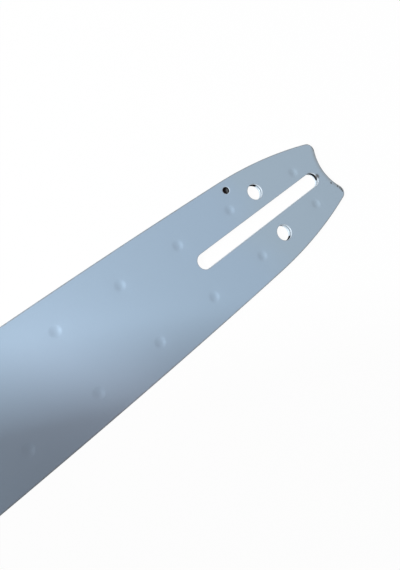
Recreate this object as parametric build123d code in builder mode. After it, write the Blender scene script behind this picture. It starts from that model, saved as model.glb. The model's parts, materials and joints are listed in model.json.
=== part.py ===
"""Laminated chainsaw guide bar with a sprocket nose, in millimetres.

Two side plates are spot-welded to a thinner-outlined core, so a groove for the chain's drive links
runs along both rails. At the nose a toothed sprocket turns on needle rollers around a riveted hub.

X runs from the tail to the nose, Y across the bar and Z through its thickness. The origin is the
middle of the stud slot, half way through the bar.
"""

import math
import os

from build123d import *

# Laminations
plate_thickness = 1.3
core_thickness = 1.3
groove_depth = 7.3

# Outline: a round nose, crowned rails, a curved tail and a notch round the drive sprocket
nose_reach = 376.5
nose_radius = 24.5
crown_rise = 5.65
crown_x = 139.0
shoulder_x = 9.2
tail_radius = 235.0
tail_wall = 5.8
notch_radius = 25.2
horn_radius = 4.3
core_setback = 2.5
core_hole_clearance = 0.6

# Stud slot, chain tensioner holes and oil holes
slot_length = 88.6
slot_width = 8.2
tensioner_x = -5.9
tensioner_edge_distance = 13.9
tensioner_diameter = 8.6
oil_x = 7.7
oil_edge_distance = 5.4
oil_diameter = 3.7

# Spot welds, seen as shallow round dimples that the electrodes pressed into the upper face
weld_first_x = 12.9
weld_pitch = 34.4
weld_inset = 13.85
weld_row_shift = 1.05
weld_tail_x = -32.7
weld_tail_inset = 12.3
weld_core_margin = 8.0
weld_diameter = 6.5
weld_depth = 0.35

# Nose sprocket
tooth_count = 10
tooth_stand_out = 0.9
gullet_depth = 8.8
gullet_root_radius = 2.4
gullet_flank_angle = 24.0
tooth_tip_radius = 0.7
sprocket_core_gap = 1.0
nose_side_clearance = 0.1

# Nose bearing and its rivets
hub_radius = 8.6
roller_diameter = 3.2
roller_clearance = 0.03
roller_gap = 0.07
rivet_count = 4
rivet_circle_radius = 4.9
rivet_diameter = 3.6
rivet_clearance = 0.02
rivet_recess = 0.05

# Worked out from the sizes above
half_core = core_thickness / 2
half_bar = half_core + plate_thickness
half_width = nose_radius + crown_rise
sprocket_x = nose_reach - nose_radius
crown_reach = sprocket_x - crown_x
crown_radius = (crown_reach**2 + half_width**2 - nose_radius**2) / (2 * crown_rise)
notch_x = -(slot_length / 2 + tail_wall)
notch_centre_x = notch_x - notch_radius
tip_radius = nose_radius + tooth_stand_out
core_nose_radius = tip_radius + sprocket_core_gap
nose_thickness = core_thickness - 2 * nose_side_clearance
weld_ball_radius = (weld_diameter**2 / 4 + weld_depth**2) / (2 * weld_depth)
weld_ball_height = half_bar + weld_ball_radius - weld_depth
rivet_hole_radius = rivet_diameter / 2 + rivet_clearance
roller_circle_radius = hub_radius + roller_clearance + roller_diameter / 2
roller_step = 2 * math.asin((roller_diameter + roller_gap) / (2 * roller_circle_radius))
roller_count = math.floor(2 * math.pi / roller_step)
sprocket_bore_radius = hub_radius + 2 * roller_clearance + roller_diameter
nose_plane = Plane((sprocket_x, 0, 0))


def arc_height(x, centre, radius):
    """Height of a circle's upper half at x."""
    return centre.Y + math.sqrt(radius**2 - (x - centre.X) ** 2)


# The rails' arcs meet without a kink: crown and nose, and crown and tail at the shoulder
crown_centre = Vector(crown_x, half_width - crown_radius)
shoulder = Vector(shoulder_x, arc_height(shoulder_x, crown_centre, crown_radius))
tail_centre = shoulder + (crown_centre - shoulder).normalized() * tail_radius
nose_joint = crown_centre + (nose_plane.origin - crown_centre).normalized() * crown_radius


def rail_height(x):
    """Half the bar's width at x, on the crown or, behind the shoulder, on the tail's curve."""
    if x < shoulder_x:
        return arc_height(x, tail_centre, tail_radius)
    return arc_height(x, crown_centre, crown_radius)


def weld_centres():
    """Centres of the balls that shape the welds: two rows along the rails, and a pair by the tail."""
    last_x = sprocket_x - core_nose_radius - weld_core_margin
    count = math.floor((last_x - weld_first_x) / weld_pitch) + 1
    pairs = [(weld_tail_x, weld_tail_inset)]
    pairs += [(weld_first_x + number * weld_pitch, weld_inset) for number in range(count)]
    return [
        (x, weld_row_shift + side * (rail_height(x) - inset), weld_ball_height)
        for x, inset in pairs
        for side in (1, -1)
    ]


# Rail outline, running on behind the notch so that the plates and the core are cut from it alike
with BuildSketch() as rail_profile:
    with BuildLine():
        tail_end = (notch_centre_x, rail_height(notch_centre_x))
        crown = ThreePointArc(nose_joint, (crown_x, half_width), shoulder)
        TangentArc(shoulder, tail_end, tangent=crown % 1)
        Line(tail_end, (notch_centre_x, 0))
        mirror(about=Plane.XZ)
        ThreePointArc(nose_joint, (sprocket_x + nose_radius, 0), (nose_joint.X, -nose_joint.Y))
    make_face()


def through_holes(clearance):
    """Stud slot and tensioner holes, widened all round by a clearance."""
    with BuildSketch() as holes:
        SlotOverall(slot_length + 2 * clearance, slot_width + 2 * clearance)
        tensioner_y = rail_height(tensioner_x) - tensioner_edge_distance
        with Locations((tensioner_x, tensioner_y), (tensioner_x, -tensioner_y)):
            Circle(tensioner_diameter / 2 + clearance)
    return holes.sketch


plate_holes = through_holes(clearance=0)
core_holes = through_holes(core_hole_clearance)


# Plate blank, which serves for both sides: notched tail, rounded horns and one oil hole
with BuildPart() as plate_blank:
    with BuildSketch(Plane.XY.offset(half_core)) as plate_profile:
        add(rail_profile.sketch)
        with Locations((notch_centre_x, 0)):
            Circle(notch_radius, mode=Mode.SUBTRACT)
        fillet(plate_profile.vertices().sort_by(Axis.X)[:2], horn_radius)
        add(plate_holes, mode=Mode.SUBTRACT)
        with Locations((oil_x, oil_edge_distance - rail_height(oil_x))):
            Circle(oil_diameter / 2, mode=Mode.SUBTRACT)
        with Locations(nose_plane.origin):
            with PolarLocations(rivet_circle_radius, rivet_count):
                Circle(rivet_hole_radius, mode=Mode.SUBTRACT)
    extrude(amount=plate_thickness)

# Upper side plate: the blank with the weld dimples in its outer face
with BuildPart() as upper_side_plate:
    add(plate_blank.part)
    with Locations(*weld_centres()):
        Sphere(weld_ball_radius, mode=Mode.SUBTRACT)
upper_side_plate.part.label = "upper_side_plate"

# Lower side plate: the blank turned over about the bar's long axis
with BuildPart() as lower_side_plate:
    add(plate_blank.part, rotation=(180, 0, 0))
lower_side_plate.part.label = "lower_side_plate"

# Core plate: set in by the groove's depth, and hollowed round the nose sprocket
with BuildPart() as core_plate:
    with BuildSketch(Plane.XY.offset(-half_core)):
        add(rail_profile.sketch)
        offset(amount=-groove_depth)
        with Locations((notch_centre_x, 0)):
            Circle(notch_radius + core_setback, mode=Mode.SUBTRACT)
        with Locations((sprocket_x, 0)):
            Circle(core_nose_radius, mode=Mode.SUBTRACT)
        add(core_holes, mode=Mode.SUBTRACT)
    extrude(amount=core_thickness)
core_plate.part.label = "core_plate"

# One gullet of the sprocket: a rounded V that the tip of a drive link drops into
with BuildSketch() as gullet:
    flank = math.radians(gullet_flank_angle)
    root_x = tip_radius - gullet_depth
    touch_x = root_x + gullet_root_radius * (1 - math.sin(flank))
    touch_y = gullet_root_radius * math.cos(flank)
    mouth_x = tip_radius + gullet_root_radius
    mouth_y = touch_y + (mouth_x - touch_x) * math.tan(flank)
    with BuildLine():
        ThreePointArc((touch_x, touch_y), (root_x, 0), (touch_x, -touch_y))
        Polyline((touch_x, -touch_y), (mouth_x, -mouth_y), (mouth_x, mouth_y), (touch_x, touch_y))
    make_face()

# Nose sprocket: a thin toothed ring that turns between the side plates
with BuildPart() as nose_sprocket:
    with BuildSketch(nose_plane.offset(-nose_thickness / 2)) as sprocket_profile:
        Circle(tip_radius)
        with PolarLocations(0, tooth_count, start_angle=180 / tooth_count):
            add(gullet.sketch, mode=Mode.SUBTRACT)
        tooth_corners = sprocket_profile.vertices().group_by(SortBy.DISTANCE)[-1]
        fillet(tooth_corners, tooth_tip_radius)
        Circle(sprocket_bore_radius, mode=Mode.SUBTRACT)
    extrude(amount=nose_thickness)
nose_sprocket.part.label = "nose_sprocket"

# Bearing hub: the inner race, held between the side plates by the rivets
with BuildPart() as bearing_hub:
    with BuildSketch(nose_plane.offset(-half_core)):
        Circle(hub_radius)
        with PolarLocations(rivet_circle_radius, rivet_count):
            Circle(rivet_hole_radius, mode=Mode.SUBTRACT)
    extrude(amount=core_thickness)
bearing_hub.part.label = "bearing_hub"

# Nose rivets: a ring of them through both plates and the hub, set just below the plates' faces
with BuildPart(nose_plane) as nose_rivets:
    with PolarLocations(rivet_circle_radius, rivet_count):
        Cylinder(rivet_diameter / 2, 2 * (half_bar - rivet_recess))
nose_rivets.part.label = "nose_rivets"

parts = [
    upper_side_plate.part,
    lower_side_plate.part,
    core_plate.part,
    nose_sprocket.part,
    bearing_hub.part,
    nose_rivets.part,
]

# Needle rollers: a full ring of them between the hub and the sprocket
for number, place in enumerate(PolarLocations(roller_circle_radius, roller_count), start=1):
    with BuildPart(Plane(nose_plane.origin + place.position)) as needle_roller:
        Cylinder(roller_diameter / 2, nose_thickness)
    needle_roller.part.label = f"needle_roller_{number:02d}"
    parts.append(needle_roller.part)

os.makedirs("parts", exist_ok=True)
for part in parts:
    export_step(part, f"parts/{part.label}.step")
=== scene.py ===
"""Looks of a laminated chainsaw guide bar: fine side plates and rivets, finishes, light and camera.

Lengths are metres in the frame's axes: X from the tail to the nose, Y across the bar and Z out of
the face that is up. The origin is the middle of the stud slot, half way through the bar.
"""

import json
import math

import bmesh
import bpy
from mathutils import Matrix, Vector, geometry, kdtree


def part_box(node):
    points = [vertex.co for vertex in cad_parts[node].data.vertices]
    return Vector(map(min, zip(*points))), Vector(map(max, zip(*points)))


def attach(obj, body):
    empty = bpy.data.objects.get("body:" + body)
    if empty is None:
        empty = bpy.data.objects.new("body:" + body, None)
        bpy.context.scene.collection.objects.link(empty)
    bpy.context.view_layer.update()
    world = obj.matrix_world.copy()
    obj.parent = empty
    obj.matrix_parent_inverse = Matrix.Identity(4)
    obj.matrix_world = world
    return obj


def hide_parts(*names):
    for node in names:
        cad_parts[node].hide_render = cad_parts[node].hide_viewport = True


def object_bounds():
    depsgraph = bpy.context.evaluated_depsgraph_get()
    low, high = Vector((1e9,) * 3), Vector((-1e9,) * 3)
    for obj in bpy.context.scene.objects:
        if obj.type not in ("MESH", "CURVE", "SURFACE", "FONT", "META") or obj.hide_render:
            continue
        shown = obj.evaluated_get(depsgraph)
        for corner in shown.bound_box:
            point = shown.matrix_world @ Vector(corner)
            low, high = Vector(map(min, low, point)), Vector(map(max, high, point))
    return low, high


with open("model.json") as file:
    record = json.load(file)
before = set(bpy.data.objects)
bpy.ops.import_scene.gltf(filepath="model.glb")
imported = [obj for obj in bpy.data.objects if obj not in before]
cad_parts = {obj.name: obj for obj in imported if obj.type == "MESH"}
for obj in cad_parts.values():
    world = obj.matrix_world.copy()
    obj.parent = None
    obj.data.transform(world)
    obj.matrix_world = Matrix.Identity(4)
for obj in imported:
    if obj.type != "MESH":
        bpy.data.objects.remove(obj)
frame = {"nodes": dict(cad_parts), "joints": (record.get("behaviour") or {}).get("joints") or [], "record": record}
cad_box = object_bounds()
MM = 0.001

# Sizes that the frame gives
mounts = {mount["name"]: mount for mount in frame["record"]["mounts"]}
joints = {joint["name"]: joint for joint in frame["joints"]}
plate_low, plate_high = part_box("upper_side_plate")
rivets_low, rivets_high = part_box("nose_rivets")
nose_centre = Vector(joints["sprocket_spin"]["pos_m"][:2])
nose_radius = plate_high.x - nose_centre.x
half_width = plate_high.y
crown_x = mounts["chain_groove"]["pos_m"][0]
slot_length = mounts["stud_slot"]["dims"]["slot_length_mm"] * MM
slot_radius = mounts["stud_slot"]["dims"]["hole_r_mm"] * MM

# Sizes repeated from the part's source
shoulder_x = 9.2 * MM
tail_radius = 235.0 * MM
tail_wall = 5.8 * MM
notch_radius = 25.2 * MM
horn_radius = 4.3 * MM
core_nose_radius = 26.4 * MM
rivet_count = 4
rivet_circle_radius = 4.9 * MM
rivet_radius = 1.8 * MM
rivet_clearance = 0.02 * MM
weld_first_x = 12.9 * MM
weld_pitch = 34.4 * MM
weld_core_margin = 8.0 * MM
weld_inset = 13.85 * MM
weld_row_shift = 1.05 * MM
weld_tail_x = -32.7 * MM
weld_tail_inset = 12.3 * MM
weld_radius = 3.25 * MM
weld_depth = 0.35 * MM

# Edges, dents and the fineness of the meshes; a rounding is its width and its drop
rail_rounding = (0.28 * MM, 0.28 * MM)
hole_rounding = (0.14 * MM, 0.14 * MM)
oil_rounding = (0.6 * MM, 0.26 * MM)
rivet_rounding = (0.25 * MM, 0.25 * MM)
inner_break = 0.08 * MM
inner_lip = 0.8 * MM
worn_band = 0.5 * MM
# Turn of facing over which a wall's painted shade fades out
dirt_and_shade_fade = math.radians(20.0)
edge_steps = 5
longest_step = 2.4 * MM
longest_straight = 1.5 * longest_step
largest_turn = math.radians(5.0)
fewest_steps = 3
weld_lean = Vector((-0.55 * MM, 0.45 * MM))
weld_rings = 10
weld_segments = 40
rivet_segments = 48
fill_spacing = 5.0 * MM
fill_margin = 0.6 * fill_spacing
point_tolerance = 1e-7
sharp_angle = math.radians(40.0)
join_distance = 0.001 * MM
sprocket_break = 0.1 * MM
sprocket_break_segments = 2


# Outline: arcs given by centre, radius and the turn of their outward normal; a hollow has radius < 0

def direction(angle):
    """Unit vector at an angle from +X."""
    return Vector((math.cos(angle), math.sin(angle)))


def rays_round(count):
    """Unit vectors spread evenly over a full turn."""
    return [direction(math.tau * number / count) for number in range(count)]


def angle_of(vector):
    """Angle of a vector from +X, from 0 to a full turn."""
    return math.atan2(vector.y, vector.x) % math.tau


def arc_points(centre, radius, start, stop):
    """Points of an arc with their outward normals, without the last one."""
    step = min(longest_step, largest_turn * abs(radius)) / abs(radius)
    count = max(fewest_steps, math.ceil(abs(stop - start) / step))
    angles = [start + (stop - start) * number / count for number in range(count)]
    return [(centre + radius * direction(angle), direction(angle)) for angle in angles]


def filled(loop):
    """A closed loop with points added along its long straight runs."""
    points = []
    for (place, normal), (next_place, _) in zip(loop, loop[1:] + loop[:1]):
        count = max(1, math.ceil((next_place - place).length / longest_straight))
        points += [(place.lerp(next_place, number / count), normal) for number in range(count)]
    return points


def circles_meet(centre_a, radius_a, centre_b, radius_b):
    """Upper point at the given distances from two centres."""
    along = centre_b - centre_a
    gap = along.length
    reach = (gap**2 + radius_a**2 - radius_b**2) / (2 * gap)
    foot = centre_a + along * reach / gap
    rise = Vector((-along.y, along.x)) / gap * math.sqrt(radius_a**2 - reach**2)
    return max(foot + rise, foot - rise, key=lambda point: point.y)


crown_rise = half_width - nose_radius
crown_radius = ((nose_centre.x - crown_x) ** 2 + half_width**2 - nose_radius**2) / (2 * crown_rise)
crown_centre = Vector((crown_x, half_width - crown_radius))
shoulder_angle = math.acos((shoulder_x - crown_x) / crown_radius)
shoulder = crown_centre + crown_radius * direction(shoulder_angle)
tail_centre = shoulder - tail_radius * direction(shoulder_angle)
notch_x = -(slot_length / 2 + tail_wall)
notch_centre = Vector((notch_x - notch_radius, 0))
horn_centre = circles_meet(
    tail_centre, tail_radius - horn_radius, notch_centre, notch_radius + horn_radius
)

nose_end = angle_of(nose_centre - crown_centre)
tail_end = angle_of(horn_centre - tail_centre)
horn_end = angle_of(notch_centre - horn_centre)


def rail_height(x):
    """Half the bar's width at x."""
    centre, radius = (tail_centre, tail_radius) if x < shoulder_x else (crown_centre, crown_radius)
    return centre.y + math.sqrt(radius**2 - (x - centre.x) ** 2)


def outline_loop():
    """The side plate's outline, with its outward normals."""
    half = arc_points(nose_centre, nose_radius, 0, nose_end)
    half += arc_points(crown_centre, crown_radius, nose_end, shoulder_angle)
    half += arc_points(tail_centre, tail_radius, shoulder_angle, tail_end)
    half += arc_points(horn_centre, horn_radius, tail_end, horn_end)
    half += arc_points(notch_centre, -notch_radius, horn_end, math.pi)
    middle = (Vector((notch_x, 0)), Vector((-1, 0)))
    flip = Vector((1, -1))
    return half + [middle] + [(place * flip, normal * flip) for place, normal in reversed(half[1:])]


def hole_loop(centre, radius):
    """A round hole's edge, with normals that point into the hole."""
    return arc_points(centre, -radius, 0, math.tau)


def slot_loop():
    """The stud slot's edge, with normals that point into the slot."""
    reach = Vector((slot_length / 2 - slot_radius, 0))
    up = Vector((0, 1))
    right = arc_points(reach, -slot_radius, math.pi / 2, math.pi * 3 / 2)
    right.append((reach + slot_radius * up, -up))
    left = arc_points(-reach, -slot_radius, math.pi * 3 / 2, math.pi * 5 / 2)
    left.append((-reach - slot_radius * up, up))
    return filled(right + left)


def rivet_places():
    """Centres of the nose rivets."""
    return [nose_centre + rivet_circle_radius * ray for ray in rays_round(rivet_count)]


def weld_places():
    """Centres of the spot welds: two rows along the rails, and a pair beside the slot's tail end."""
    last_x = nose_centre.x - core_nose_radius - weld_core_margin
    count = math.floor((last_x - weld_first_x) / weld_pitch) + 1
    pairs = [(weld_tail_x, weld_tail_inset)]
    pairs += [(weld_first_x + number * weld_pitch, weld_inset) for number in range(count)]
    return [
        Vector((x, weld_row_shift + side * (rail_height(x) - inset)))
        for x, inset in pairs
        for side in (1, -1)
    ]


# Mesh builders: plates with rounded edges, flat faces and pressed dents, and rivets

def placed(name, data):
    """An object in the scene for a mesh, a lamp or a camera."""
    made = bpy.data.objects.new(name, data)
    bpy.context.scene.collection.objects.link(made)
    return made


def finished(name, mesh):
    """A smooth piece in the scene, made from a mesh."""
    bmesh.ops.recalc_face_normals(mesh, faces=mesh.faces)
    data = bpy.data.meshes.new(name)
    mesh.to_mesh(data)
    mesh.free()
    data.shade_smooth()
    data.set_sharp_from_angle(angle=sharp_angle)
    return placed(name, data)


def join_rings(mesh, rings):
    """Bands of faces from each ring of corners to the next."""
    for ring, next_ring in zip(rings, rings[1:]):
        for number, vert in enumerate(ring):
            mesh.faces.new((ring[number - 1], vert, next_ring[number], next_ring[number - 1]))


def fill_points(rings):
    """Points on a grid inside an outline, clear of all its rings."""
    edge = [pair for ring in rings for pair in ring]
    tree = kdtree.KDTree(len(edge))
    for number, (place, _) in enumerate(edge):
        tree.insert(place.to_3d(), number)
    tree.balance()
    columns = range(math.ceil(plate_low.x / fill_spacing), math.ceil(plate_high.x / fill_spacing))
    rows = range(math.ceil(plate_low.y / fill_spacing), math.ceil(plate_high.y / fill_spacing))
    points = []
    for point in (Vector((column, row)) * fill_spacing for column in columns for row in rows):
        _, number, gap = tree.find(point.to_3d())
        place, normal = edge[number]
        if gap > fill_margin and (point - place).dot(normal) < 0:
            points.append(point)
    return points


def flat_faces(rings):
    """Triangles between an outline and the holes in it, and the points added in the open middle.

    A ring is a list of places with their outward normals, the outline first. The triangles number
    the places of all rings in turn, and then the added points.
    """
    edges, owner = [], []
    for number, ring in enumerate(rings):
        start = len(owner)
        edges += [(start + step, start + (step + 1) % len(ring)) for step in range(len(ring))]
        owner += [number] * len(ring)
    places = [place for ring in rings for place, _ in ring]
    spare = fill_points(rings)
    owner += [0] * len(spare)
    inside_only = 1
    _, _, found, sources, _, _ = geometry.delaunay_2d_cdt(
        places + spare, edges, [], inside_only, point_tolerance
    )

    def in_hole(face):
        owners = {owner[corner] for corner in face}
        return len(owners) == 1 and owners != {0}

    faces = [[sources[corner][0] for corner in face] for face in found]
    return [face for face in faces if not in_hole(face)], spare


def edge_profile(rounding, inner_z, outer_z):
    """Steps across an edge from the inner face to the outer, for a rounding's width and drop.

    A step is its inset and height, and its shares of wear, wall and depth.
    """
    width, drop = rounding
    side = math.copysign(1, outer_z - inner_z)
    profile = [
        (inner_lip, inner_z, 1, 1, 1),
        (inner_break, inner_z, 1, 1, 1),
        (0, inner_z + side * inner_break, 1, 1, 1),
    ]
    for number in range(edge_steps + 1):
        turn = math.pi / 2 * number / edge_steps
        inset = width * (1 - math.cos(turn))
        height = outer_z - side * drop * (1 - math.sin(turn))
        profile.append((inset, height, 1, 1 - number / edge_steps, 0))
    return profile + [(width + worn_band, outer_z, 0, 0, 0)]


def dirt_and_shade_share(normal, middle, reach):
    """Share of darkening on a wall that faces along a normal, from the darkening's middle facing and
    its reach; a narrow reach paints shade on walls that face away from the light.
    """
    turn = abs((angle_of(normal) - middle + math.pi) % math.tau - math.pi)
    return min(1, max(0, (reach - turn) / dirt_and_shade_fade))


def dent_depth(share):
    """Depth of a weld dent at a share of its radius: a shallow bowl with a soft rim."""
    return weld_depth * (1 - share**2) ** 2


def plate_piece(name, loops, dents, inner_z, outer_z):
    """A closed plate with rounded edges on its outer face, and dents pressed into it.

    A loop is its points with their normals, the rounding of its edge, how worn, bright and darkened
    that edge's wall is, and its darkening: a middle facing, a reach and how far it spreads up the wall.
    The darkening is painted shade on walls that face away from the light and deep in the holes, mixed
    with soiling in the oil hole and a dark joint round each rivet. The flat inner face has the second
    material.
    """
    side = math.copysign(1, outer_z - inner_z)
    mesh = bmesh.new()
    wear_layer = mesh.verts.layers.float.new("wear")
    cut_layer = mesh.verts.layers.float.new("cut")
    grime_and_shade_layer = mesh.verts.layers.float.new("grime_and_shade")

    def corner(place, height, wear=0, cut=0, grime_and_shade=0):
        x = min(plate_high.x, max(plate_low.x, place.x))
        y = min(plate_high.y, max(plate_low.y, place.y))
        vert = mesh.verts.new((x, y, height))
        vert[wear_layer] = wear
        vert[cut_layer] = cut
        vert[grime_and_shade_layer] = grime_and_shade
        return vert

    inner_rings, outer_rings = [], []
    for loop, rounding, (worn, bright, dark_walls), (middle, reach, spread) in loops:
        normals = [normal for _, normal in loop]
        rings = []
        for inset, height, wear, wall, depth in edge_profile(rounding, inner_z, outer_z):
            ring = []
            for place, normal in loop:
                # Darkening by facing and depth: painted shade on walls facing away from the light, soiling where
                # it reaches all round
                dirt_and_shade = max(depth, wall * spread) * dirt_and_shade_share(normal, middle, reach)
                dark = max(wall * dark_walls, dirt_and_shade)
                ring.append(corner(place - inset * normal, height, wear * worn, wall * bright, dark))
            rings.append(ring)
        join_rings(mesh, rings)
        inner_rings.append((rings[0], normals))
        outer_rings.append((rings[-1], normals))

    rays = rays_round(weld_segments)
    shares = [1 - number / weld_rings for number in range(weld_rings)]
    for place in dents:
        rings = []
        for share in shares:
            ring_centre = place + (1 - share) * weld_lean
            height = outer_z - side * dent_depth(share)
            rings.append([corner(ring_centre + share * weld_radius * ray, height) for ray in rays])
        join_rings(mesh, rings)
        lowest = corner(place + weld_lean, outer_z - side * dent_depth(0))
        for number, vert in enumerate(rings[-1]):
            mesh.faces.new((rings[-1][number - 1], vert, lowest))
        outer_rings.append((rings[0], [-ray for ray in rays]))

    for rings, height, material_number in ((inner_rings, inner_z, 1), (outer_rings, outer_z, 0)):
        edges = [[(vert.co.to_2d(), normal) for vert, normal in zip(*ring)] for ring in rings]
        faces, spare = flat_faces(edges)
        verts = [vert for ring, _ in rings for vert in ring]
        verts += [corner(place, height) for place in spare]
        for face in faces:
            mesh.faces.new([verts[number] for number in face]).material_index = material_number

    return finished(name, mesh)


def rivets_piece(name, places, radius, low_z, high_z):
    """Plain rivets with rounded rims at both ends."""
    mesh = bmesh.new()
    rays = rays_round(rivet_segments)
    steps = [math.pi / 2 * number / edge_steps for number in range(edge_steps + 1)]
    width, depth = rivet_rounding
    rim = [(width * (1 - math.sin(turn)), depth * (1 - math.cos(turn))) for turn in steps]
    profile = [(radius - inset, low_z + drop) for inset, drop in rim]
    profile += [(radius - inset, high_z - drop) for inset, drop in reversed(rim)]
    for place in places:
        rings = []
        for reach, height in profile:
            rings.append([mesh.verts.new((*(place + reach * ray), height)) for ray in rays])
        join_rings(mesh, rings)
        mesh.faces.new(rings[0])
        mesh.faces.new(rings[-1])
    return finished(name, mesh)


# Finishes: colours, places and sizes of marks, ranges of noises and shares, shine and roughness
# The tail's colour is a painted tint: less blue than the blade's, for the bluer light on the blade
tail_painted_tint_colour = (0.324, 0.413, 0.494, 1)
blade_colour = (0.316, 0.416, 0.525, 1)
flake_colour = (0.45, 0.55, 0.65, 1)
rubbed_colour = (0.25, 0.27, 0.28, 1)
bare_colour = (0.255, 0.285, 0.31, 1)
stain_colour = (0.24, 0.24, 0.235, 1)
cut_colour = (0.52, 0.58, 0.64, 1)
chip_colour = (0.06, 0.054, 0.05, 1)
# Near-black of painted shade on hole walls, and of soiling in the oil hole and round the rivets
grime_and_shade_colour = (0.008, 0.008, 0.009, 1)
scale_light = (0.13, 0.13, 0.135, 1)
scale_dark = (0.09, 0.087, 0.086, 1)
white = (1, 1, 1, 1)
# Where along X, and how unevenly, the tail's painted tint fades into the blade's colour
painted_tint_change = (0.014, 0.044)
painted_tint_wander = 0.04
notch_band = 3.0 * MM
noise_core = (0.35, 0.65)
noise_span = (0.3, 0.7)
stain_span = (0.35, 0.7)
wear_span = (0.1, 0.9)
cut_span = (0.2, 0.6)
# Range over which walls turn to that near-black of painted shade and soiling
grime_and_shade_span = (0.6, 0.9)
ragged_shares = (0.5, 0.9)
flake_share = 0.06
chip_share = 0.85
chip_core = 0.3
lacquer_metal = 0.15
lacquer_shine = 0.5
grime_and_shade_shine = 0.02
scale_shine = 0.08
lacquer_rough = (0.40, 0.45)
scale_rough = (0.7, 0.9)
steel_rough_spread = 0.07
noise_roughness = 0.55
grains_a_cloud = 12
bump_depth = 0.02 * MM
peel_strength = 0.05
grain_strength = 0.25

# Dark chips along the notch and on its horns, and a speck by the slot's tail end: place and reach
chips = [
    ((-0.04945, 0.0079), 0.0008),
    ((-0.05175, 0.0116), 0.0008),
    ((-0.05245, 0.0131), 0.0008),
    ((-0.05262, 0.0143), 0.0009),
    ((-0.05258, 0.0154), 0.0008),
    ((-0.05345, -0.0149), 0.0007),
    ((-0.05350, -0.0139), 0.0008),
    ((-0.05325, -0.0128), 0.0007),
    ((-0.04440, 0.0001), 0.0019),
]


# Materials; a helper's first argument is the material or world whose nodes it adds to

def link(material, source, target):
    """Join two sockets."""
    material.node_tree.links.new(source, target)


def node(material, kind, inputs=(), **settings):
    """Add a shader node; an input is a value, or a socket to link."""
    made = material.node_tree.nodes.new(kind)
    for key, value in settings.items():
        setattr(made, key, value)
    for key, value in dict(inputs).items():
        if isinstance(value, bpy.types.NodeSocket):
            link(material, value, made.inputs[key])
        else:
            made.inputs[key].default_value = value
    return made


def new_material(name):
    """A material with a Principled shader, that shader and the object's coordinates."""
    material = bpy.data.materials.new(name)
    material.use_nodes = True
    shader = material.node_tree.nodes["Principled BSDF"]
    place = node(material, "ShaderNodeTexCoord").outputs["Object"]
    return material, shader, place


def noise(material, place, scale, detail=3.0):
    """Noise value at a place; scale is features per metre."""
    made = node(
        material, "ShaderNodeTexNoise",
        {"Vector": place, "Scale": scale, "Detail": detail, "Roughness": noise_roughness},
    )
    return made.outputs["Fac"]


def remap(material, value, low, high, to_low, to_high):
    """A value carried from one range to another, smoothly and clamped."""
    made = node(
        material, "ShaderNodeMapRange",
        {"Value": value, "From Min": low, "From Max": high, "To Min": to_low, "To Max": to_high},
        interpolation_type="SMOOTHSTEP",
    )
    return made.outputs["Result"]


def math_node(material, operation, first, second):
    """Two values put together by an operation."""
    made = node(material, "ShaderNodeMath", {0: first, 1: second}, operation=operation)
    return made.outputs["Value"]


def mix_colour(material, factor, first, second):
    """Colours mixed by a factor; the node's colour sockets are known by their numbers."""
    made = node(material, "ShaderNodeMix", {0: factor, 6: first, 7: second}, data_type="RGBA")
    return made.outputs[2]


def near(material, place, centre, low, high):
    """1 within a distance of a point, and 0 beyond a greater one."""
    gap = node(material, "ShaderNodeVectorMath", {0: place, 1: centre}, operation="DISTANCE")
    return remap(material, gap.outputs["Value"], low, high, 1, 0)


def amount(material, name):
    """A mesh attribute's value."""
    return node(material, "ShaderNodeAttribute", attribute_name=name).outputs["Fac"]


def add_bumps(material, shader, height, strength):
    """Fine bumps on a shader's surface."""
    made = node(
        material, "ShaderNodeBump",
        {"Strength": strength, "Distance": bump_depth, "Height": height},
    )
    link(material, made.outputs["Normal"], shader.inputs["Normal"])


def background_rays(material):
    """1 for rays that show the background: from the camera, or mirrored or passed on by a surface."""
    path = node(material, "ShaderNodeLightPath").outputs
    seen = math_node(material, "MAXIMUM", path["Is Camera Ray"], path["Is Glossy Ray"])
    return math_node(material, "MAXIMUM", seen, path["Is Transmission Ray"])


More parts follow.
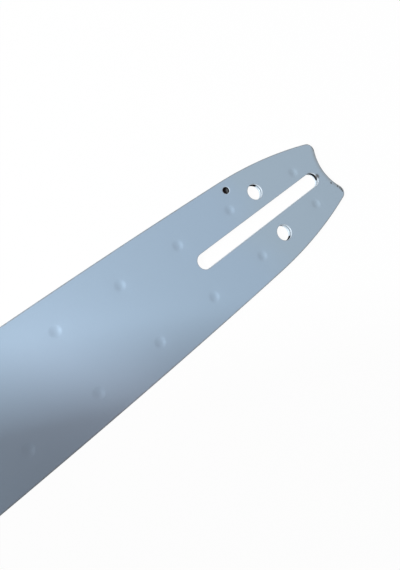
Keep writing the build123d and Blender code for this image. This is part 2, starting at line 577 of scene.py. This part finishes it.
def lacquer():
    """Satin silver-blue lacquer: thin at the worn outline, with bright walls in the holes.

    The walls are darkened by painted shade where they face away from the light and deep down, mixed
    with soiling in the oil hole and a dark joint round each rivet. The tail's less blue colour is a
    painted tint for the bluer light on the blade.
    """
    material, shader, place = new_material("lacquer")

    # Painted tint: the tail is less blue than the blade, for the bluer light on the blade
    along = node(material, "ShaderNodeSeparateXYZ", {"Vector": place}).outputs["X"]
    wander = noise(material, place, scale=30, detail=1.0)
    wander = math_node(material, "MULTIPLY", wander, painted_tint_wander)
    tone = remap(material, math_node(material, "ADD", along, wander), *painted_tint_change, 0, 1)
    body = mix_colour(material, tone, tail_painted_tint_colour, blade_colour)
    flake = noise(material, place, scale=5200, detail=1.0)
    flake = remap(material, flake, *noise_core, 0, flake_share)
    body = mix_colour(material, flake, body, flake_colour)

    ragged = noise(material, place, scale=700, detail=4.0)
    ragged = remap(material, ragged, *noise_core, *ragged_shares)
    rubbed = near(material, place, (*notch_centre, 0), notch_radius, notch_radius + notch_band)
    rubbed = math_node(material, "MULTIPLY", rubbed, ragged)
    body = mix_colour(material, rubbed, body, rubbed_colour)
    bare = remap(material, amount(material, "wear"), *wear_span, 0, 1)
    bare = math_node(material, "MULTIPLY", bare, ragged)
    stain = remap(material, noise(material, place, scale=420), *stain_span, 0, 1)
    edge = mix_colour(material, stain, bare_colour, stain_colour)
    body = mix_colour(material, bare, body, edge)
    cut = remap(material, amount(material, "cut"), *cut_span, 0, 1)
    body = mix_colour(material, cut, body, cut_colour)
    for centre, reach in chips:
        mark = near(material, place, (*centre, plate_high.z), chip_core * reach, reach)
        mark = math_node(material, "MULTIPLY", mark, chip_share)
        body = mix_colour(material, mark, body, chip_colour)
    # Painted shade on walls facing away from the light and deep in the holes, with soiling in the oil and rivet
    # holes; it also dulls and roughens the lacquer there
    grime_and_shade = remap(material, amount(material, "grime_and_shade"), *grime_and_shade_span, 0, 1)
    body = mix_colour(material, grime_and_shade, body, grime_and_shade_colour)
    link(material, body, shader.inputs["Base Color"])

    shader.inputs["Metallic"].default_value = lacquer_metal
    shine = remap(material, grime_and_shade, 0, 1, lacquer_shine, grime_and_shade_shine)
    link(material, shine, shader.inputs["Specular IOR Level"])
    rough = remap(material, noise(material, place, scale=220), *noise_span, *lacquer_rough)
    link(material, math_node(material, "MAXIMUM", rough, grime_and_shade), shader.inputs["Roughness"])
    add_bumps(material, shader, noise(material, place, scale=850, detail=2.0), peel_strength)
    return material


def steel(name, light, dark, roughness, grain):
    """Bare steel with cloudy tone and fine grain; grain is grains per metre."""
    material, shader, place = new_material(name)
    shader.inputs["Metallic"].default_value = 1.0
    cloud = noise(material, place, scale=grain / grains_a_cloud, detail=4.0)
    cloud = remap(material, cloud, *noise_span, 0, 1)
    link(material, mix_colour(material, cloud, light, dark), shader.inputs["Base Color"])
    fine = noise(material, place, scale=grain)
    smoothest, roughest = roughness - steel_rough_spread, roughness + steel_rough_spread
    rough = remap(material, fine, *noise_span, smoothest, roughest)
    link(material, rough, shader.inputs["Roughness"])
    add_bumps(material, shader, fine, grain_strength)
    return material


def black_scale():
    """Dull dark scale, as on the plates' hidden inner faces."""
    material, shader, place = new_material("black_scale")
    cloud = noise(material, place, scale=180, detail=4.0)
    cloud = remap(material, cloud, *noise_span, 0, 1)
    link(material, mix_colour(material, cloud, scale_light, scale_dark), shader.inputs["Base Color"])
    shader.inputs["Specular IOR Level"].default_value = scale_shine
    rough = remap(material, noise(material, place, scale=2400), *noise_span, *scale_rough)
    link(material, rough, shader.inputs["Roughness"])
    return material


def dress(piece, *materials):
    """Give a piece its materials; a new mesh isn't cleared, which would reset its faces' materials."""
    if piece.data.materials:
        piece.data.materials.clear()
    for material in materials:
        piece.data.materials.append(material)


lacquer_finish = lacquer()
raw_finish = black_scale()
core_finish = steel(
    "core_steel", (0.20, 0.197, 0.195, 1), (0.13, 0.125, 0.12, 1), roughness=0.55, grain=2000
)
sprocket_finish = steel(
    "hardened_steel", (0.30, 0.29, 0.28, 1), (0.19, 0.175, 0.165, 1), roughness=0.38, grain=3000
)
bearing_finish = steel(
    "bearing_steel", (0.60, 0.60, 0.61, 1), (0.48, 0.48, 0.49, 1), roughness=0.25, grain=4000
)
rivet_finish = steel(
    "rivet_steel", (0.50, 0.51, 0.53, 1), (0.38, 0.38, 0.39, 1), roughness=0.36, grain=3500
)

# Pieces that replace their nodes: fine side plates, with painted shade deep in their holes and on
# walls facing away from the light, soiling in the oil and rivet holes, and rivets
# Each edge's wear, brightness and darkened wall; the oil hole's darkened wall is soiling with painted shade
worn_edge, bright_edge, grimy_edge, oily_shaded_edge = (1, 0, 0), (0.6, 1, 0), (0, 0, 1), (0, 1, 1)
# Darkening by facing: a middle facing, a reach and a spread up the wall. The slot's and tensioner holes' darkening
# is painted shade on walls facing away from the light; all round it is soiling with painted shade in the oil hole,
# and a dark joint at the rivets
clean, dark_all_round = (0, -1, 0), (0, math.tau, 0)
slot_painted_shade = (math.radians(40), math.radians(80), 0)
left_hole_painted_shade = (math.radians(-90), math.radians(56))
right_hole_painted_shade = (math.radians(55), math.radians(41))
# The lower plate's tensioner holes get painted shade further up their walls
upper_spread, lower_spread = 0, 0.76
for label, oil_mount, side, spread in (
    ("upper_side_plate", "oil_hole_upper", 1, upper_spread),
    ("lower_side_plate", "oil_hole_lower", -1, lower_spread),
):
    low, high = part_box(label)
    inner_z, outer_z = (low.z, high.z) if side > 0 else (high.z, low.z)
    loops = [
        (outline_loop(), rail_rounding, worn_edge, clean),
        (slot_loop(), hole_rounding, bright_edge, slot_painted_shade),
    ]
    for hole, rounding, edge, dirt_and_shade in (
        (mounts["tensioner_hole_left"], hole_rounding, bright_edge, (*left_hole_painted_shade, spread)),
        (mounts["tensioner_hole_right"], hole_rounding, bright_edge, (*right_hole_painted_shade, spread)),
        (mounts[oil_mount], oil_rounding, oily_shaded_edge, dark_all_round),
    ):
        points = hole_loop(Vector(hole["pos_m"][:2]), hole["dims"]["r_mm"] * MM)
        loops.append((points, rounding, edge, dirt_and_shade))
    for place in rivet_places():
        points = hole_loop(place, rivet_radius + rivet_clearance)
        loops.append((points, rivet_rounding, grimy_edge, dark_all_round))
    plate = plate_piece(label + "_fine", loops, weld_places(), inner_z, outer_z)
    dress(plate, lacquer_finish, raw_finish)
    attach(plate, "bar")
    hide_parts(label)

rivets = rivets_piece("nose_rivets_fine", rivet_places(), rivet_radius, rivets_low.z, rivets_high.z)
dress(rivets, rivet_finish)
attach(rivets, "bar")
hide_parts("nose_rivets")

# Carried-over nodes
dress(frame["nodes"]["core_plate"], core_finish)
sprocket = frame["nodes"]["nose_sprocket"]
dress(sprocket, sprocket_finish)
weld = sprocket.modifiers.new("joined", "WELD")
weld.merge_threshold = join_distance
bevel = sprocket.modifiers.new("broken_edges", "BEVEL")
bevel.width = sprocket_break
bevel.segments = sprocket_break_segments
bevel.limit_method = "ANGLE"
bevel.angle_limit = sharp_angle
for name, piece in frame["nodes"].items():
    if name.startswith("needle_roller") or name == "bearing_hub":
        dress(piece, bearing_finish)

# Floor: one large triangle, white with a soft shadow, and clear from below and to the light under it
floor_gap = 0.15 * MM
floor_z = cad_box[0].z - floor_gap
floor_reach = 6.0
floor_paint = (0.9, 0.9, 0.9, 1)
floor_white = 0.975
floor_glow = 0.42

floor_mesh = bpy.data.meshes.new("floor")
floor_mesh.from_pydata([(*(floor_reach * ray), floor_z) for ray in rays_round(3)], [], [(0, 1, 2)])
floor = placed("floor", floor_mesh)

floor_material = bpy.data.materials.new("floor_white")
floor_material.use_nodes = True
floor_material.cycles.emission_sampling = "NONE"
floor_material.node_tree.nodes.clear()
paint = node(floor_material, "ShaderNodeBsdfDiffuse", {"Color": floor_paint})
glow = node(floor_material, "ShaderNodeEmission", {"Color": white, "Strength": 1.0})
white_share = remap(floor_material, background_rays(floor_material), 0, 1, floor_glow, floor_white)
top = node(
    floor_material, "ShaderNodeMixShader",
    {0: white_share, 1: paint.outputs["BSDF"], 2: glow.outputs["Emission"]},
)
clear = node(floor_material, "ShaderNodeBsdfTransparent")
below = node(floor_material, "ShaderNodeNewGeometry").outputs["Backfacing"]
shadow = node(floor_material, "ShaderNodeLightPath").outputs["Is Shadow Ray"]
passed = math_node(floor_material, "MAXIMUM", below, shadow)
both = node(
    floor_material, "ShaderNodeMixShader",
    {0: passed, 1: top.outputs["Shader"], 2: clear.outputs["BSDF"]},
)
floor_out = node(floor_material, "ShaderNodeOutputMaterial")
link(floor_material, both.outputs["Shader"], floor_out.inputs["Surface"])
dress(floor, floor_material)

# Light: a warm room, a cool key with a flag, a low box, a strip by the blade and a box under the floor
room_fill = (0.18, 0.115, 0.11, 1)
key_place = Vector((1.5256, -0.4880, 1.2586))
key_target = Vector((0.05, 0, 0))
key_size = (0.39, 0.25)
key_level = 1.37
key_colour = (0.879, 0.966, 1.0)
low_place = Vector((1.48, -0.52, 0.49))
low_size = (0.5, 0.3)
low_level = 0.25
low_colour = (1.0, 0.98, 1.0)
under_place = Vector((-2.0, 0, -0.9))
under_target = Vector((0.16, 0, 0))
under_size = (0.8, 0.5)
under_level = 0.9
under_colour = (1.0, 0.99, 0.97)
strip_place = Vector((0.1133, 0.0099, 0.0404))
strip_turn = math.radians(-58.5)
strip_size = (0.087, 0.008)
strip_level = 0.43
strip_colour = (1.0, 0.94, 0.98)
flag_z = 0.1146
flag_turn = math.radians(-27.5)
flag_low, flag_high = (-0.343, 0.0787), (0.90, 0.40)
flag_solid_end, flag_net_start = 0.22, 0.44
flag_solid_share, flag_net_share = 0.96, 0.25
flag_colour = (0.02, 0.02, 0.02, 1)

world = bpy.data.worlds.new("room")
world.use_nodes = True
bpy.context.scene.world = world
room = world.node_tree.nodes["Background"]
room_colour = mix_colour(world, background_rays(world), room_fill, white)
link(world, room_colour, room.inputs["Color"])


def soft_box(name, place, way, size, level, colour):
    """A soft box that shines along a way, and lights a white face at the way's end to a level."""
    lamp = bpy.data.lights.new(name, "AREA")
    lamp.shape = "RECTANGLE"
    lamp.size, lamp.size_y = size
    lamp.energy = level * math.pi**2 * way.length**2
    lamp.color = colour
    box = placed(name, lamp)
    box.location = place
    box.rotation_euler = way.to_track_quat("-Z", "Y").to_euler()
    box.visible_camera = False
    return box


soft_box("soft_box_key", key_place, key_target - key_place, key_size, key_level, key_colour)
soft_box("soft_box_low", low_place, key_target - low_place, low_size, low_level, low_colour)
under_way = under_target - under_place
under = soft_box("soft_box_under", under_place, under_way, under_size, under_level, under_colour)
under.visible_glossy = False
strip_way = Vector((0, 0, plate_high.z - strip_place.z))
strip = soft_box("soft_box_strip", strip_place, strip_way, strip_size, strip_level, strip_colour)
strip.rotation_euler = (0, 0, strip_turn)
strip.visible_glossy = False

flag_mesh = bpy.data.meshes.new("flag")
flag_corners = [
    (flag_low[0], flag_low[1], flag_z),
    (flag_high[0], flag_low[1], flag_z),
    (flag_high[0], flag_high[1], flag_z),
    (flag_low[0], flag_high[1], flag_z),
]
flag_mesh.from_pydata(flag_corners, [], [(0, 1, 2, 3)])
flag = placed("flag", flag_mesh)
flag.rotation_euler = (0, 0, flag_turn)
flag.visible_camera = False
flag.visible_glossy = False
flag_material, flag_shader, flag_place = new_material("flag_black")
flag_shader.inputs["Base Color"].default_value = flag_colour
along = node(flag_material, "ShaderNodeSeparateXYZ", {"Vector": flag_place}).outputs["X"]
share = remap(flag_material, along, flag_solid_end, flag_net_start, flag_solid_share, flag_net_share)
link(flag_material, share, flag_shader.inputs["Alpha"])
dress(flag, flag_material)

# Camera: the photograph's view, with the bar's nose end outside the picture
picture_width, picture_height = 400, 570
focal_pixels = 538.0
centre_row = 205.0
camera_place = Vector((0.14148, -0.01506, 0.24671))
camera_target = Vector((0.02476, -0.02409, 0.00195))
camera_up = Vector((-0.5165, -0.8105, 0.2762))

back = (camera_place - camera_target).normalized()
right = camera_up.cross(back).normalized()
camera_turn = Matrix((right, back.cross(right), back)).transposed().to_4x4()
camera_data = bpy.data.cameras.new("camera")
camera_data.sensor_width = 36.0
camera_data.lens = focal_pixels / max(picture_width, picture_height) * camera_data.sensor_width
camera_data.shift_y = (centre_row - picture_height / 2) / max(picture_width, picture_height)
camera_data.clip_start = 0.01
camera = placed("camera", camera_data)
camera.matrix_world = Matrix.Translation(camera_place) @ camera_turn
bpy.context.scene.camera = camera
bpy.context.scene.view_settings.view_transform = "Standard"

bpy.context.view_layer.update()
